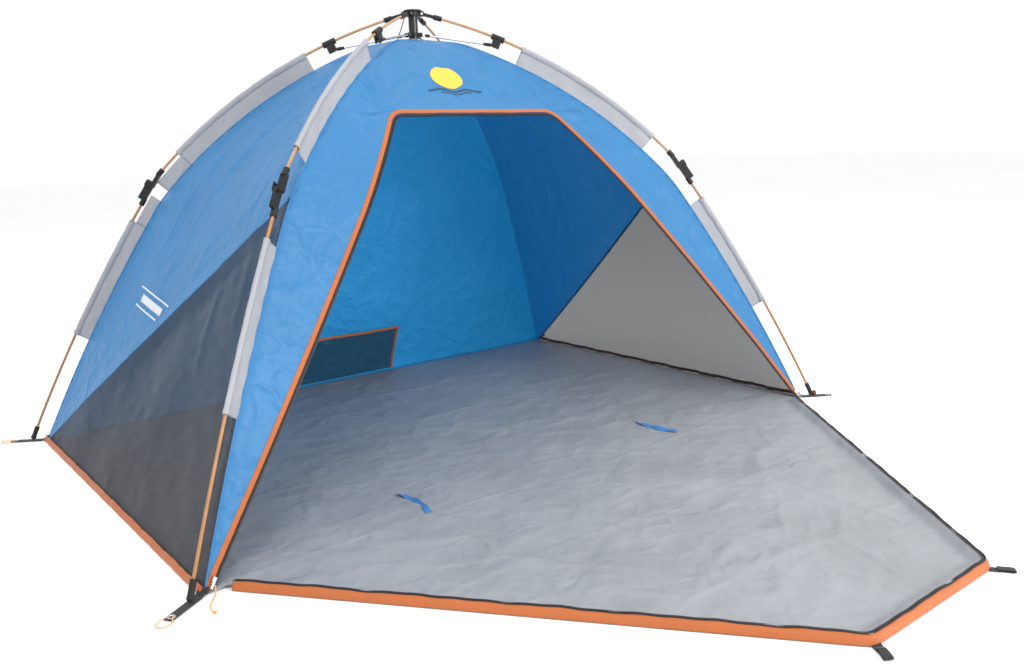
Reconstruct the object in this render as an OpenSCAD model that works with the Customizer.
// Instant beach shelter: four bent legs on an umbrella hub carry a fabric canopy
// with a zipped door flap that folds out in front as a porch.
// Frame: +Z up, door towards -Y, origin on the ground below the hub.

/* [Footprint] */
// Width of the floor along the door side
base_w = 2200; // [2100:10:2300]
// Depth of the floor from door to back wall
base_d = 1480; // [1420:10:1540]
// Thickness of the modelled fabric
skin = 1.6; // [1.2:0.1:2.5]

/* [Legs] */
// Diameter of the bent poles
pole_d = 8; // [7:0.5:9]
// Bend radius of the upper poles
upper_r = 1750; // [1700:10:1800]
// Bend radius of the lower poles
lower_r = 6070; // [5900:10:6300]
// Slope of the upper pole where it leaves the hub
hub_a = 15.7; // [15:0.1:17]
// Slope of the upper pole where it enters the knee
knee_in_a = 46; // [45:0.5:47]
// Slope of the knee
knee_a = 55.4; // [55:0.1:56]
// Length of the knee between the two poles
knee_len = 90; // [86:1:96]
// Distance of the knee rivet outside the pole's axis
knee_off = 14; // [13:0.5:16]
// Slope of the upper pole at the strut collar
collar_a = 22.7; // [22:0.1:23.5]
// Distance of the strut rivet under the pole's axis
collar_drop = 24; // [22:1:26]

/* [Hub] */
// Height of the leg rivets in the crown
pivot_z = 1358; // [1350:1:1365]
// Distance of the leg rivets from the hub's axis
pivot_r = 30; // [29:0.5:32]
// Height of the strut rivets in the runner
runner_z = 1294; // [1290:1:1296]
// Distance of the strut rivets from the hub's axis
runner_r = 23; // [22.5:0.5:24]
// Radius of the post that the runner slides on
post_r = 15; // [14:0.5:15.5]

/* [Canopy] */
// Height of the canopy's peak
peak_z = 1279; // [1270:1:1279]
// Width of the webs between the canopy and the upper poles
web_w = 55; // [50:1:60]
// Width of the webs between the canopy and the lower poles
web_low_w = 45; // [42:1:48]
// Height of the door's top edge
door_z = 1043; // [1000:1:1060]
// Width of the door's top edge
door_top_w = 600; // [500:10:700]
// Radius of the door's upper corners
door_corner_r = 70; // [40:5:100]
// Width of the edging around the door
edging_w = 14; // [10:1:20]
// Height at which the mesh windows meet the front ridges
mesh_z = 820; // [700:10:900]

/* [Porch flap] */
// Width of the flap at its hinge
flap_w = 2110; // [2000:10:2120]
// Width of the flap's far edge
flap_tip_w = 460; // [400:10:500]
// Length of the flap
flap_len = 1055; // [1000:5:1060]

/* [Hidden] */
$fn = 48;

// Directions of the four legs around the hub
corner_a = atan2(base_d, base_w);
fl = 180 + corner_a;
fr = -corner_a;
br = corner_a;
bl = 180 - corner_a;
corners = [fl, fr, br, bl];
half_w = base_w / 2;
half_d = base_d / 2;

// Fits: bores are wider than their pins, tongues narrower than their forks
pole_bore = pole_d + 0.1;
pin_r = 2.5;
strut_pin_r = 2;
knee_pin_r = 3;
run_gap = 0.05;
tongue_w = 7.4;
fork_gap = 8;
knee_tongue_w = 9.4;
knee_fork_gap = 10;
ear_t = 4;

// Leg plane: x runs outwards from the hub's axis and y is the height
socket_reach = 43;
arc_steps = 360;
function on_arc(c, r, a) = [c.x + r * sin(a), c.y + r * cos(a)];
function turn(length, r) = length / r * 180 / PI;
pole_start = [pivot_r + socket_reach * cos(hub_a), pivot_z - socket_reach * sin(hub_a)];
upper_c = pole_start - upper_r * [sin(hub_a), cos(hub_a)];
knee_in = on_arc(upper_c, upper_r, knee_in_a);
knee_out = knee_in + knee_len * [cos(knee_a), -sin(knee_a)];
knee_pivot = (knee_in + knee_out) / 2 + knee_off * [sin(knee_a), cos(knee_a)];
lower_c = knee_out - lower_r * [sin(knee_a), cos(knee_a)];
foot_z = 13;
foot_a = acos((foot_z - lower_c.y) / lower_r);
strut_out = on_arc(upper_c, upper_r - collar_drop, collar_a);
strut_in = [runner_r, runner_z];
strut_len = norm(strut_out - strut_in);
strut_a = atan2(strut_in.y - strut_out.y, strut_out.x - strut_in.x);

// Ridge of the canopy in the leg plane, from the peak to the floor
ridge_upper_r = upper_r - web_w;
ridge_lower_r = lower_r - web_low_w;
ridge_a0 = 19;
ridge_a1 = 47;
ridge_n = 7;
ridge_low_n = 4;
ridge_foot_a = acos(-lower_c.y / ridge_lower_r);
ridge = concat(
    [[0, peak_z]],
    [for (i = [0 : ridge_n])
        on_arc(upper_c, ridge_upper_r, ridge_a0 + i * (ridge_a1 - ridge_a0) / ridge_n)],
    [for (i = [0 : ridge_low_n])
        on_arc(lower_c, ridge_lower_r, knee_a + i * (ridge_foot_a - knee_a) / ridge_low_n)]
);
ridge_last = len(ridge) - 1;
floor_r = ridge[ridge_last].x;

// Door outline in the XZ plane, drawn in by m
door_slope_a = atan2(door_z, half_w - door_top_w / 2);
corner_x = door_top_w / 2 - door_corner_r * tan(door_slope_a / 2);
corner_steps = 6;
function door_arc(m) = [for (i = [0 : corner_steps])
    let (a = 90 - door_slope_a + i * door_slope_a / corner_steps)
    [corner_x + (door_corner_r - m) * cos(a), door_z - door_corner_r + (door_corner_r - m) * sin(a)]];
function flip(p) = [for (i = [len(p) - 1 : -1 : 0]) [-p[i].x, p[i].y]];
function door_side(m) = concat([[half_w - m / sin(door_slope_a), 0]], door_arc(m));
function door_outline(m) = concat(door_side(m), flip(door_side(m)));

// Porch flap outline on the ground, drawn out by m
flap_y = half_d + 3;
flap_edge_a = atan2(flap_len, (flap_w - flap_tip_w) / 2);
hem_w = 12;
function flap_outline(m) = [
    [flap_w / 2 + m / sin(flap_edge_a), -flap_y],
    [flap_tip_w / 2 + m / tan((180 - flap_edge_a) / 2), -flap_y - flap_len - m],
    [-flap_tip_w / 2 - m / tan((180 - flap_edge_a) / 2), -flap_y - flap_len - m],
    [-flap_w / 2 - m / sin(flap_edge_a), -flap_y]
];

// Zip line beside the door; the front wall is ruled from the door's foot to the ridge
zip_z = 26;
zip_out = 8;
wall_lean = (half_d - half_d * ridge[ridge_last - 1].x / floor_r) / ridge[ridge_last - 1].y;
function width_at(z) = half_w - z / tan(door_slope_a) - edging_w / 2 / sin(door_slope_a);
zip_dir = [-(half_w - door_top_w / 2) / door_z, wall_lean, 1];

// Cord routes, in world coordinates
hub_cord_d = 3;
hub_cord_path = [
    [-30, 0, 1352], [-33, -1, 1345], [-38, -2, 1334], [-43, -2, 1322], [-48, -2, 1310],
    [-53, -1, 1298], [-58, 0, 1287], [-62, 0, 1278], [-64, 0, 1272]
];
zip_cord_d = 3;
zip_cord_path = [
    [-1076, -750, 16], [-1078, -756, 9], [-1082, -764, 4], [-1088, -773, 2.2],
    [-1095, -783, 2.2], [-1102, -793, 2.2], [-1108, -804, 2.2], [-1112, -816, 2.2],
    [-1114, -828, 2.2], [-1114, -840, 2.2]
];

// Turns the leg plane to one corner
module at_corner(a) {
    rotate([0, 0, a]) children();
}

// A place in the leg plane: local x runs down the slope a, local z points outwards
module in_plane(p, a) {
    translate([p.x, 0, p.y]) rotate([0, a, 0]) children();
}

// Round bar bent to radius r around c, between the slopes a0 and a1
module bent_bar(c, r, a0, a1, d) {
    translate([c.x, 0, c.y]) rotate([90, 0, 0]) rotate([0, 0, 90 - a1])
        rotate_extrude(angle = a1 - a0, $fn = arc_steps) translate([r, 0]) circle(d = d, $fn = 32);
}

// Cylinder across the leg plane
module cross_bar(r, w) {
    rotate([90, 0, 0]) cylinder(r = r, h = w, center = true);
}

// Tube swept along a path of points
module cord(path, d) {
    sides = 8;
    last = len(path) - 1;
    rings = [for (i = [0 : last])
        let (t = path[min(i + 1, last)] - path[max(i - 1, 0)])
        let (side = cross(t, [0, 0, 1]), u = norm(side) < 0.001 ? [1, 0, 0] : side / norm(side))
        let (v = cross(u, t) / norm(t))
        for (k = [0 : sides - 1]) path[i] + d / 2 * (u * cos(k * 360 / sides) + v * sin(k * 360 / sides))];
    walls = [for (i = [0 : last - 1], k = [0 : sides - 1])
        [i * sides + k, i * sides + (k + 1) % sides, (i + 1) * sides + (k + 1) % sides, (i + 1) * sides + k]];
    first_end = [for (k = [sides - 1 : -1 : 0]) k];
    last_end = [for (k = [0 : sides - 1]) last * sides + k];
    polyhedron(points = rings, faces = concat(walls, [first_end, last_end]));
}

// Crown: top hub with a fork for each leg under a domed cap
module crown() {
    core_r = 22;
    ear_w = 4.5;
    ear_r = pivot_r + 6.5;
    ear_low = pivot_z - 7;
    ear_h = 15;
    cap_r = 30;
    color([0.16, 0.16, 0.17]) difference() {
        union() {
            translate([0, 0, ear_low]) cylinder(r = core_r, h = ear_h);
            translate([0, 0, ear_low + ear_h]) rotate_extrude()
                polygon([[0, 0], [cap_r, 0], [cap_r, 2.5], [cap_r - 3, 4.5], [cap_r - 14, 6], [0, 6.5]]);
            for (a = corners, s = [-1, 1]) at_corner(a)
                translate([core_r - 8, s > 0 ? fork_gap / 2 : -fork_gap / 2 - ear_w, ear_low])
                    cube([ear_r - core_r + 8, ear_w, ear_h]);
        }
        translate([0, 0, ear_low - 1]) cylinder(r = post_r, h = ear_h - 2);
        for (a = corners) at_corner(a) in_plane([pivot_r, pivot_z], 0) cross_bar(pin_r, 30);
    }
}

// Post that the runner slides on, with a stop flange at its foot
module hub_post() {
    foot = peak_z + 2;
    top = pivot_z + 3;
    color([0.1, 0.1, 0.11]) {
        translate([0, 0, foot]) cylinder(r = post_r - run_gap, h = top - foot);
        translate([0, 0, foot]) cylinder(r = post_r + 2, h = 3);
    }
}

// Leg rivets through the crown's forks
module crown_pins() {
    reach = 18;
    color([0.78, 0.78, 0.8]) for (a = corners) at_corner(a) in_plane([pivot_r, pivot_z], 0) {
        cross_bar(pin_r, reach);
        for (s = [-1, 1]) translate([0, s * (reach / 2 + 0.5), 0]) cross_bar(3.8, 1.6);
    }
}

// Runner: sliding lower hub with a fork and a rivet for each strut
module runner() {
    ring_r = 17.3;
    ring_h = 12;
    low = runner_z - ring_h / 2;
    color([0.16, 0.16, 0.17]) difference() {
        union() {
            translate([0, 0, low]) cylinder(r = ring_r, h = ring_h);
            for (a = corners) at_corner(a) {
                for (s = [-1, 1])
                    translate([post_r + 1, s > 0 ? fork_gap / 2 : -fork_gap / 2 - ear_t, low])
                        cube([runner_r + 5.5 - post_r - 1, ear_t, ring_h]);
                in_plane(strut_in, 0) cross_bar(strut_pin_r, fork_gap + 2 * ear_t + 2);
            }
        }
        translate([0, 0, low - 1]) cylinder(r = post_r, h = ring_h + 2);
    }
}

// Cord from the crown down to the canopy's peak
module hub_cord() {
    color([0.1, 0.1, 0.1]) cord(hub_cord_path, hub_cord_d);
}

// Leg socket: tongue on the crown's rivet and a sleeve for the upper pole
module socket(a) {
    tongue_h = 10;
    sleeve_d = 16;
    sleeve_a0 = hub_a - turn(5, upper_r);
    sleeve_a1 = hub_a + turn(22, upper_r);
    color([0.17, 0.17, 0.18]) at_corner(a) difference() {
        union() {
            bent_bar(upper_c, upper_r, sleeve_a0, sleeve_a1, sleeve_d);
            in_plane([pivot_r, pivot_z], hub_a) {
                cross_bar(tongue_h / 2, tongue_w);
                translate([0, -tongue_w / 2, -tongue_h / 2]) cube([socket_reach, tongue_w, tongue_h]);
            }
        }
        in_plane([pivot_r, pivot_z], 0) cross_bar(pin_r + run_gap, 30);
        bent_bar(upper_c, upper_r, hub_a, sleeve_a1 + 0.2, pole_bore);
    }
}

// Bent upper pole from the hub to the knee
module upper_pole(a) {
    color([0.82, 0.55, 0.33]) at_corner(a)
        bent_bar(upper_c, upper_r, hub_a + turn(0.5, upper_r), knee_in_a - turn(10, upper_r), pole_d);
}

// Collar that carries the strut's outer end between two cheeks
module collar(a) {
    length = 44;
    cheek_l = 28;
    cheek_low = collar_drop + 7;
    color([0.17, 0.17, 0.18]) at_corner(a) difference() {
        union() {
            bent_bar(upper_c, upper_r, collar_a - turn(length / 2, upper_r),
                collar_a + turn(length / 2, upper_r), 19);
            in_plane(on_arc(upper_c, upper_r, collar_a), collar_a) for (s = [-1, 1]) {
                translate([-cheek_l / 2, s > 0 ? fork_gap / 2 : -fork_gap / 2 - ear_t, -cheek_low])
                    cube([cheek_l, ear_t, cheek_low]);
                translate([0, s * (fork_gap / 2 + ear_t + 0.7), -collar_drop]) cross_bar(4, 1.6);
            }
        }
        bent_bar(upper_c, upper_r, collar_a - 2, collar_a + 2, pole_bore);
    }
}

// Strut between the runner and a collar
module strut(a) {
    rod_r = 3;
    end_l = 18;
    end_h = 9;
    color([0.72, 0.72, 0.74]) at_corner(a) in_plane(strut_in, strut_a) difference() {
        union() {
            translate([end_l - 4, 0, 0]) rotate([0, 90, 0]) cylinder(r = rod_r, h = strut_len - 2 * end_l + 8);
            for (x = [0, strut_len]) translate([x, 0, 0]) cross_bar(end_h / 2, tongue_w);
            translate([0, -tongue_w / 2, -end_h / 2]) cube([end_l, tongue_w, end_h]);
            translate([strut_len - end_l, -tongue_w / 2, -end_h / 2]) cube([end_l, tongue_w, end_h]);
        }
        cross_bar(strut_pin_r + run_gap, 20);
    }
}

// Upper half of the knee: sleeve, stop block, two cheeks and the rivet
module knee_upper(a) {
    sleeve_l = 24;
    cheek_r = 8;
    block_l = knee_len / 2 + 7;
    low = -knee_off - cheek_r;
    cheek_x = knee_fork_gap / 2 + ear_t;
    color([0.17, 0.17, 0.18]) at_corner(a) difference() {
        union() {
            bent_bar(upper_c, upper_r, knee_in_a - turn(sleeve_l, upper_r), knee_in_a, 17);
            in_plane(knee_pivot, knee_a) {
                translate([-block_l, -cheek_x, low]) cube([block_l - 1, 2 * cheek_x, 12.5]);
                for (s = [-1, 1]) translate([0, s * (knee_fork_gap + ear_t) / 2, 0]) {
                    cross_bar(cheek_r, ear_t);
                    translate([-16, -ear_t / 2, low]) cube([16, ear_t, cheek_r - low]);
                }
                cross_bar(knee_pin_r, 2 * cheek_x + 1);
                for (s = [-1, 1]) translate([0, s * (cheek_x + 0.8), 0]) cross_bar(5, 1.8);
            }
        }
        bent_bar(upper_c, upper_r, knee_in_a - 3, knee_in_a - turn(9, upper_r), pole_bore);
    }
}

// Lower half of the knee: tongue on the rivet and a sleeve for the lower pole
module knee_lower(a) {
    sleeve_l = 24;
    eye_r = 8;
    color([0.24, 0.24, 0.25]) at_corner(a) difference() {
        union() {
            bent_bar(lower_c, lower_r, knee_a, knee_a + turn(sleeve_l, lower_r), 17);
            in_plane(knee_pivot, knee_a) {
                cross_bar(eye_r, knee_tongue_w);
                translate([0, -knee_tongue_w / 2, -knee_off - 6])
                    cube([knee_len / 2 + 7, knee_tongue_w, knee_off + 12]);
            }
        }
        in_plane(knee_pivot, knee_a) cross_bar(knee_pin_r + run_gap, 30);
        bent_bar(lower_c, lower_r, knee_a + turn(9, lower_r), knee_a + 3, pole_bore);
    }
}

// Slightly bent lower pole from the knee to the foot
module lower_pole(a) {
    color([0.8, 0.45, 0.26]) at_corner(a)
        bent_bar(lower_c, lower_r, knee_a + turn(10, lower_r), foot_a - turn(5, lower_r), pole_d);
}

// Foot: socket with a round end on the lower pole
module foot(a) {
    ball_r = 8.5;
    length = 40;
    color([0.13, 0.13, 0.14]) at_corner(a) difference() {
        union() {
            bent_bar(lower_c, lower_r, foot_a - turn(length, lower_r), foot_a, 15);
            translate([on_arc(lower_c, lower_r, foot_a).x, 0, foot_z]) sphere(r = ball_r);
        }
        bent_bar(lower_c, lower_r, foot_a - 1, foot_a - turn(4, lower_r), pole_bore);
    }
}

// Section of one canopy wall from peak to floor, between two depths under its outer face
function wall_profile(half, outer, inner) = concat(
    [for (p = ridge) [half * p.x / floor_r - outer, p.y - outer]],
    [for (i = [ridge_last : -1 : 0]) [half * ridge[i].x / floor_r - inner, ridge[i].y - inner]]
);

// Side wall on +X, cut off at the ridges and the floor
module side_wall(outer = 0, inner = skin) {
    reach = half_w * 1.1;
    intersection() {
        rotate([90, 0, 0]) linear_extrude(base_d, center = true) polygon(wall_profile(half_w, outer, inner));
        linear_extrude(peak_z + 50) polygon([[0, 0], [reach, -half_d * 1.1], [reach, half_d * 1.1]]);
    }
}

// Back wall on +Y, cut off at the ridges and the floor
module end_wall(outer = 0, inner = skin) {
    reach = half_d * 1.1;
    intersection() {
        rotate([90, 0, 90]) linear_extrude(base_w, center = true) polygon(wall_profile(half_d, outer, inner));
        linear_extrude(peak_z + 50) polygon([[0, 0], [half_w * 1.1, reach], [-half_w * 1.1, reach]]);
    }
}

// Front wall on -Y
module front_wall() {
    mirror([0, 1, 0]) end_wall();
}

// Space below the slanting seam of the mesh windows
module mesh_zone() {
    low = -10;
    front_y = half_d * lookup(mesh_z, [for (p = ridge) [p.y, p.x / floor_r]]);
    run = (half_d + front_y) / mesh_z;
    rotate([90, 0, 90]) linear_extrude(base_w + 100, center = true)
        polygon([[half_d - low * run, low], [half_d - run * peak_z, peak_z], [-base_d, peak_z], [-base_d, low]]);
}

// Space inside the door outline drawn in by m
module door_zone(m) {
    rotate([90, 0, 0]) linear_extrude(base_d + 200, center = true) polygon(door_outline(m));
}

// Blue upper part of a side wall, s is -1 on the left and 1 on the right
module side_panel(s) {
    color([0.29, 0.57, 0.82]) difference() {
        mirror([s < 0 ? 1 : 0, 0, 0]) side_wall();
        mesh_zone();
    }
}

// Mesh lower part of a side wall
module side_mesh(s) {
    color([0.27, 0.28, 0.3]) intersection() {
        mirror([s < 0 ? 1 : 0, 0, 0]) side_wall();
        mesh_zone();
    }
}

// Closed back wall
module back_panel() {
    color([0.18, 0.47, 0.71]) end_wall();
}

// Front wall above the door
module door_header() {
    color([0.33, 0.61, 0.85]) intersection() {
        front_wall();
        translate([-half_w, -half_d, door_z]) cube([base_w, base_d, peak_z]);
    }
}

// Front wall beside the door, s is -1 on the left and 1 on the right
module door_strip(s) {
    color([0.33, 0.61, 0.85]) difference() {
        intersection() {
            front_wall();
            translate([s < 0 ? -half_w : 0, -half_d, 0]) cube([half_w, half_d, door_z]);
        }
        door_zone(0);
    }
}

// Edging with the zip tape around the door
module door_edging() {
    color([0.89, 0.47, 0.28]) difference() {
        intersection() {
            front_wall();
            door_zone(0);
        }
        door_zone(edging_w);
    }
}

// Floor
module groundsheet() {
    inset = 4;
    color([0.64, 0.66, 0.69]) translate([inset - half_w, inset - half_d, 0])
        cube([base_w - 2 * inset, base_d - 2 * inset, skin]);
}

// Flat hem around the left, back and right sides of the floor
module base_hem() {
    w = 18;
    color([0.89, 0.47, 0.28]) difference() {
        translate([-half_w - w, -half_d, 0]) cube([base_w + 2 * w, base_d + w, 1.4]);
        translate([-half_w - 0.3, -half_d - 1, -1]) cube([base_w + 0.6, base_d + 1.3, 4]);
    }
}

// Flat pocket on the inside of the back wall
module pocket() {
    low = 12;
    high = 205;
    left = -220;
    width = 490;
    color([0.14, 0.33, 0.4]) intersection() {
        end_wall(skin + 1, 2 * skin + 1);
        translate([left, 0, low]) cube([width, base_d, high - low]);
    }
}

// Two ribbons that tie up the rolled flap, lying on the floor
module floor_ties() {
    w = 18;
    length = 180;
    from_door = 8;
    color([0.23, 0.48, 0.75]) for (x = [-500, 440])
        translate([x, -half_d + from_door, skin + 0.2]) cube([w, length, 1]);
}

// Flat ring sector in the leg plane
module plane_web(c, r_in, r_out, a0, a1) {
    t = 1.6;
    far = r_out / cos((a1 - a0) / 2) + 10;
    translate([c.x, t / 2, c.y]) rotate([90, 0, 0]) linear_extrude(t) intersection() {
        difference() {
            circle(r = r_out, $fn = arc_steps * 2);
            circle(r = r_in, $fn = arc_steps * 2);
        }
        polygon([[0, 0], far * [sin(a0), cos(a0)], far * [sin(a1), cos(a1)]]);
    }
}

// Webs that join the canopy's ridges to the pole sleeves
module pole_webs() {
    clear = pole_d / 2 + 1.5;
    knee_clear = 13;
    upper_top_a = 25.5;
    upper_foot_a = 42.8;
    lower_top_a = 56.2;
    lower_foot_a = 60.3;
    color([0.77, 0.76, 0.79]) {
        for (a = corners) at_corner(a) {
            plane_web(upper_c, ridge_upper_r + 1, upper_r - clear, upper_top_a, upper_foot_a);
            plane_web(lower_c, ridge_lower_r + 1, lower_r - clear, lower_top_a, lower_foot_a);
        }
        for (a = [bl, br]) at_corner(a) {
            plane_web(upper_c, ridge_upper_r + 1, upper_r - knee_clear, upper_foot_a, knee_in_a);
            plane_web(lower_c, ridge_lower_r + 1, lower_r - knee_clear, knee_a, lower_top_a);
        }
    }
}

// Webbing from each floor corner out under the foot to a peg eyelet
strap_z = 1.7;
strap_t = 1.6;
eyelet_x = 1432;
eyelet_bore_r = 5;
eyelet_barrel_r = 6.5;
module corner_straps() {
    w = 26;
    start = 1328;
    color([0.12, 0.12, 0.13]) for (a = corners) at_corner(a) difference() {
        union() {
            translate([start, -w / 2, strap_z]) cube([eyelet_x - start, w, strap_t]);
            translate([eyelet_x, 0, strap_z]) cylinder(d = w, h = strap_t);
        }
        translate([eyelet_x, 0, 0]) cylinder(r = eyelet_barrel_r, h = 10);
    }
}

// Metal eyelets in the straps
module strap_eyelets() {
    flange_r = 9.5;
    flange_t = 0.8;
    color([0.75, 0.75, 0.77]) for (a = corners) at_corner(a) translate([eyelet_x, 0, strap_z - flange_t])
        rotate_extrude() {
            translate([eyelet_bore_r, 0]) square([eyelet_barrel_r - eyelet_bore_r, strap_t + 2 * flange_t]);
            translate([eyelet_bore_r, 0]) square([flange_r - eyelet_bore_r, flange_t]);
            translate([eyelet_bore_r, strap_t + flange_t]) square([flange_r - eyelet_bore_r, flange_t]);
        }
}

// Door flap, folded out flat as the porch
module door_flap() {
    color([0.66, 0.67, 0.7]) linear_extrude(skin) polygon(flap_outline(0));
}

// Hem along the flap's free edges
module flap_hem() {
    gap = 0.3;
    color([0.89, 0.47, 0.28]) linear_extrude(1.4) difference() {
        polygon(flap_outline(hem_w));
        polygon(flap_outline(gap));
        translate([-base_w, -flap_y]) square([2 * base_w, 50]);
    }
}

// Webbing tabs at the flap's far corners
module flap_tabs() {
    color([0.12, 0.12, 0.13]) for (s = [-1, 1])
        translate([s * flap_tip_w / 2, -flap_y - flap_len - hem_w, 0]) rotate([0, 0, s * 35])
            translate([-12.5, -46, 0]) cube([25, 40, 1.6]);
}

// Zip slider at the foot of the door's edge
module zip_slider(s) {
    y = half_d - wall_lean * zip_z + zip_out;
    color([0.75, 0.75, 0.77]) mirror([s > 0 ? 1 : 0, 0, 0])
        translate([-width_at(zip_z), -y, zip_z])
            rotate([0, acos(1 / norm(zip_dir)), atan2(zip_dir.y, -zip_dir.x)]) {
                cube([6, 9, 18], center = true);
                translate([-3.8, 0, -8]) cube([1.6, 6, 24], center = true);
            }
}

// Pull cord of the left zip, hanging to the ground
module zip_cord() {
    color([0.9, 0.62, 0.2]) cord(zip_cord_path, zip_cord_d);
}

// Knot at the end of the pull cord
module zip_toggle() {
    color([0.9, 0.62, 0.2]) translate([-1114, -846, 5.2]) sphere(r = 5);
}

crown();
hub_post();
crown_pins();
runner();
hub_cord();
socket(fl);  // socket_fl
socket(fr);  // socket_fr
socket(br);  // socket_br
socket(bl);  // socket_bl
upper_pole(fl);  // upper_pole_fl
upper_pole(fr);  // upper_pole_fr
upper_pole(br);  // upper_pole_br
upper_pole(bl);  // upper_pole_bl
collar(fl);  // collar_fl
collar(fr);  // collar_fr
collar(br);  // collar_br
collar(bl);  // collar_bl
strut(fl);  // strut_fl
strut(fr);  // strut_fr
strut(br);  // strut_br
strut(bl);  // strut_bl
knee_upper(fl);  // knee_upper_fl
knee_upper(fr);  // knee_upper_fr
knee_upper(br);  // knee_upper_br
knee_upper(bl);  // knee_upper_bl
knee_lower(fl);  // knee_lower_fl
knee_lower(fr);  // knee_lower_fr
knee_lower(br);  // knee_lower_br
knee_lower(bl);  // knee_lower_bl
lower_pole(fl);  // lower_pole_fl
lower_pole(fr);  // lower_pole_fr
lower_pole(br);  // lower_pole_br
lower_pole(bl);  // lower_pole_bl
foot(fl);  // foot_fl
foot(fr);  // foot_fr
foot(br);  // foot_br
foot(bl);  // foot_bl
side_panel(-1);  // left_panel
side_mesh(-1);  // left_mesh
side_panel(1);  // right_panel
side_mesh(1);  // right_mesh
back_panel();
door_header();
door_strip(-1);  // door_strip_left
door_strip(1);  // door_strip_right
door_edging();
groundsheet();
base_hem();
pocket();
floor_ties();
pole_webs();
corner_straps();
strap_eyelets();
door_flap();
flap_hem();
flap_tabs();
zip_slider(-1);  // zip_slider_left
zip_slider(1);  // zip_slider_right
zip_cord();
zip_toggle();
